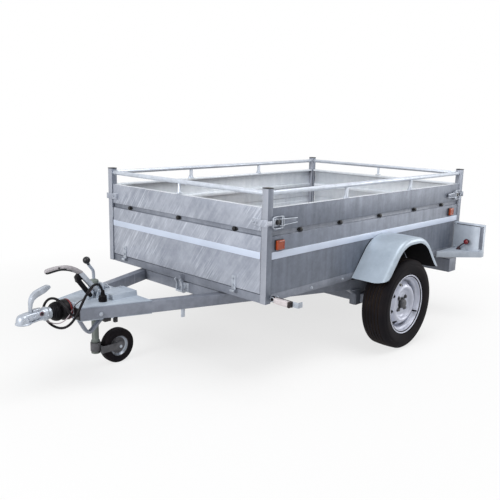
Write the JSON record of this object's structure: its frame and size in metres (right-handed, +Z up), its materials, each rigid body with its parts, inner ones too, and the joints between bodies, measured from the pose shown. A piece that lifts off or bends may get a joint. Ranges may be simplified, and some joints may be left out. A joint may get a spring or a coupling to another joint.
{
  "type": "utility trailer",
  "caption": "Braked single-axle trailer with a galvanised tipping bed, drop gates at both ends, V drawbar, overrun coupling and swivelling jockey wheel.",
  "frame": {"origin": "on the ground under the middle of the trailer's length and width", "axes": "+X to the trailer's left, +Y to its rear (the coupling is at -Y), +Z up"},
  "size_m": [1.85, 3.101, 1.051],
  "materials": {
    "galvanised_beam": "hot-dip galvanised, satin",
    "zinc_sheet": "galvanised sheet, satin",
    "rail_tube": "bright galvanised tube",
    "zinc_fitting": "zinc plated, bright",
    "rim_paint": "silver enamel",
    "tyre_rubber": "black rubber, matte",
    "black_rubber": "black rubber, satin",
    "black_plastic": "moulded black plastic",
    "grip_plastic": "moulded grey plastic",
    "lamp_red": "moulded lens",
    "lamp_amber": "moulded amber lens",
    "lamp_white": "moulded white lens",
    "red_cord": "plastic sheathed cable",
    "floor_board": "film-faced plywood"
  },
  "bodies": {
    "chassis": {"drawbar_left": "galvanised_beam", "drawbar_right": "galvanised_beam", "drawbar_crossbeam": "galvanised_beam", "overrun_housing": "galvanised_beam", "overrun_bellows": "black_rubber", "coupling_head": "zinc_fitting", "coupling_handle": "zinc_fitting", "handbrake_lever": "zinc_fitting", "handbrake_grip": "grip_plastic", "handbrake_strut": "black_rubber", "guide_loop": "galvanised_beam", "brake_rod": "zinc_fitting", "axle_tube": "galvanised_beam", "axle_bracket_left": "galvanised_beam", "axle_bracket_right": "galvanised_beam", "trailing_arm_left": "galvanised_beam", "trailing_arm_right": "galvanised_beam", "bed_latch": "zinc_fitting", "jockey_clamp": "zinc_fitting", "jockey_tube": "zinc_fitting", "jockey_crank": "zinc_fitting", "crank_knob": "black_plastic", "beam_caps": "black_plastic", "lighting_cable": "black_rubber", "breakaway_cable": "red_cord", "cable_plug": "black_rubber", "plug_holder": "black_rubber"},
    "bed": {"bed_frame": "galvanised_beam", "bed_floor": "floor_board", "corner_posts": "galvanised_beam", "post_caps": "black_plastic", "side_panel_left": "zinc_sheet", "side_panel_right": "zinc_sheet", "rail_left": "rail_tube", "rail_right": "rail_tube", "rail_front": "rail_tube", "rail_rear": "rail_tube", "fender_left": "zinc_sheet", "fender_right": "zinc_sheet", "lamp_board_left": "zinc_sheet", "lamp_board_right": "zinc_sheet", "rear_lamps": "lamp_red", "rear_bar": "galvanised_beam", "rear_bar_hangers": "galvanised_beam", "stalk_lamps": "lamp_red", "front_marker": "zinc_fitting", "front_marker_lamp": "lamp_white", "side_lamps": "lamp_amber", "panel_latches": "zinc_fitting"},
    "front_gate": {"front_panel": "zinc_sheet"},
    "tailgate": {"tail_panel": "zinc_sheet"},
    "wheel_left": {"tyre_left": "tyre_rubber", "rim_left": "rim_paint", "hub_left": "zinc_fitting"},
    "wheel_right": {"tyre_right": "tyre_rubber", "rim_right": "rim_paint", "hub_right": "zinc_fitting"},
    "jockey_leg": {"jockey_leg": "zinc_fitting"},
    "jockey_fork": {"jockey_fork": "zinc_fitting"},
    "jockey_wheel": {"jockey_wheel": "tyre_rubber"}
  },
  "joints": [
    {"name": "bed_tip", "type": "hinge", "parent": "chassis", "child": "bed", "pos_m": [0, 0.6845, 0.41], "axis": [-1, 0, 0], "range_deg": [0, 18]},
    {"name": "front_gate_hinge", "type": "hinge", "parent": "bed", "child": "front_gate", "pos_m": [0, -0.5535, 0.478], "axis": [1, 0, 0], "range_deg": [0, 72]},
    {"name": "tailgate_hinge", "type": "hinge", "parent": "bed", "child": "tailgate", "pos_m": [0, 1.5425, 0.478], "axis": [-1, 0, 0], "range_deg": [0, 90]},
    {"name": "wheel_left_spin", "type": "hinge", "parent": "chassis", "child": "wheel_left", "pos_m": [0.8215, 0.5345, 0.2805], "axis": [1, 0, 0], "continuous": true},
    {"name": "wheel_right_spin", "type": "hinge", "parent": "chassis", "child": "wheel_right", "pos_m": [-0.8215, 0.5345, 0.2805], "axis": [1, 0, 0], "continuous": true},
    {"name": "jockey_slide", "type": "slide", "parent": "chassis", "child": "jockey_leg", "axis": [0, 0, 1], "range_m": [0, 0.12]},
    {"name": "jockey_swivel", "type": "hinge", "parent": "jockey_leg", "child": "jockey_fork", "pos_m": [-0.118, -1.0375, 0.12], "axis": [0, 0, 1], "continuous": true},
    {"name": "jockey_wheel_spin", "type": "hinge", "parent": "jockey_fork", "child": "jockey_wheel", "pos_m": [-0.118, -0.8975, 0.1], "axis": [1, 0, 0], "continuous": true}
  ]
}
